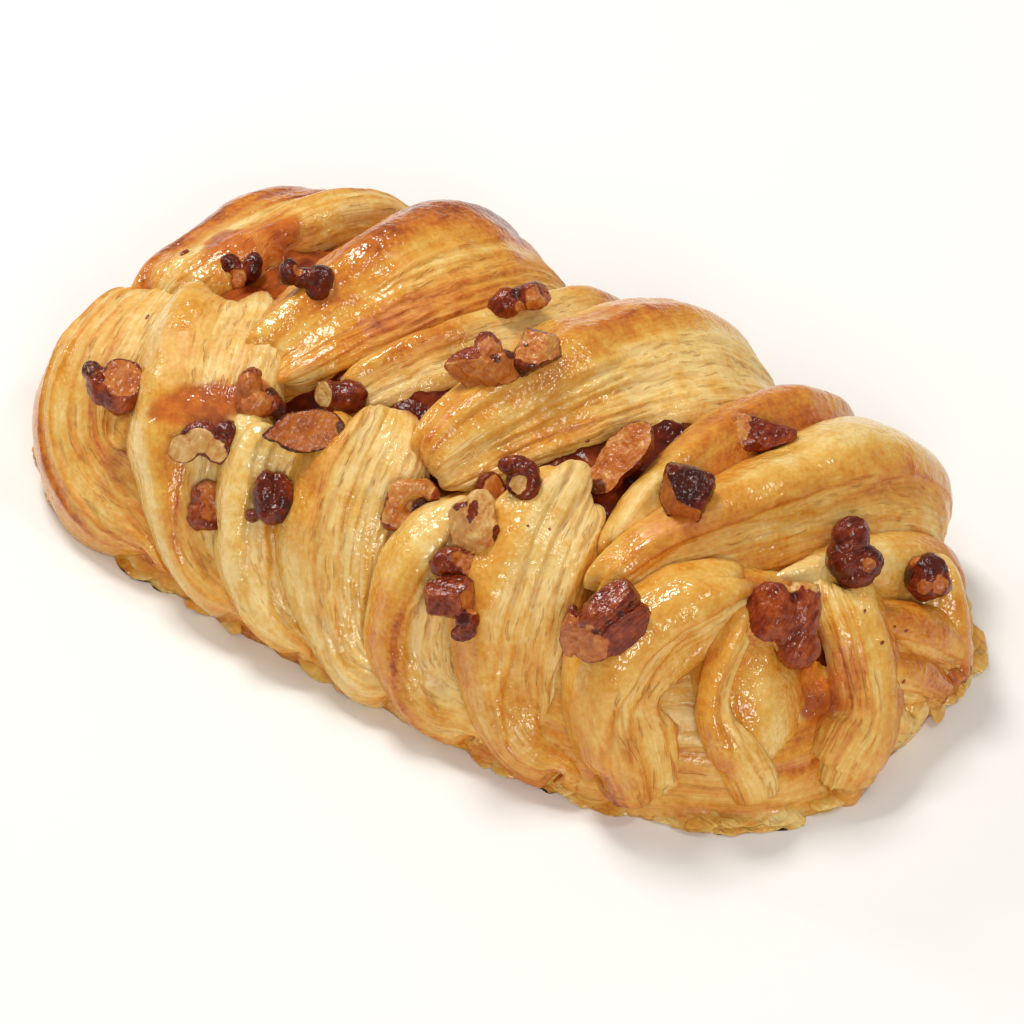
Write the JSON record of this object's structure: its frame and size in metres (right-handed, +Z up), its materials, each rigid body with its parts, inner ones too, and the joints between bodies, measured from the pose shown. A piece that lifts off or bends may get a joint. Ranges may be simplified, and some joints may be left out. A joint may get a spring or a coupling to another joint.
{
  "type": "pecan braid pastry",
  "caption": "Oblong braided Danish pastry: ridged, flaky dough strips cross over a syrup filling that shows in the gaps, topped with chopped pecan pieces.",
  "frame": {"origin": "middle of the flat base", "axes": "+X along the loaf towards the end that is nearer in the picture, +Y towards the side that is farther in the picture, +Z up"},
  "size_m": [0.1388, 0.0782, 0.0394],
  "materials": {
    "dough": "baked flaky dough, golden brown, glazed on its crests",
    "syrup": "glossy amber-brown syrup filling",
    "pecan": "toasted pecan, red-brown skin with pale chopped faces, thinly glazed"
  },
  "bodies": {
    "root": {"pastry": "dough", "filling": "syrup", "pecan_01": "pecan", "pecan_02": "pecan", "pecan_03": "pecan", "pecan_04": "pecan", "pecan_05": "pecan", "pecan_06": "pecan", "pecan_07": "pecan", "pecan_08": "pecan", "pecan_09": "pecan", "pecan_10": "pecan", "pecan_11": "pecan", "pecan_12": "pecan", "pecan_13": "pecan", "pecan_14": "pecan", "pecan_15": "pecan", "pecan_16": "pecan", "pecan_17": "pecan", "pecan_18": "pecan", "pecan_19": "pecan", "pecan_20": "pecan", "pecan_21": "pecan", "pecan_22": "pecan", "pecan_23": "pecan", "pecan_24": "pecan", "pecan_25": "pecan", "pecan_26": "pecan"}
  },
  "joints": []
}
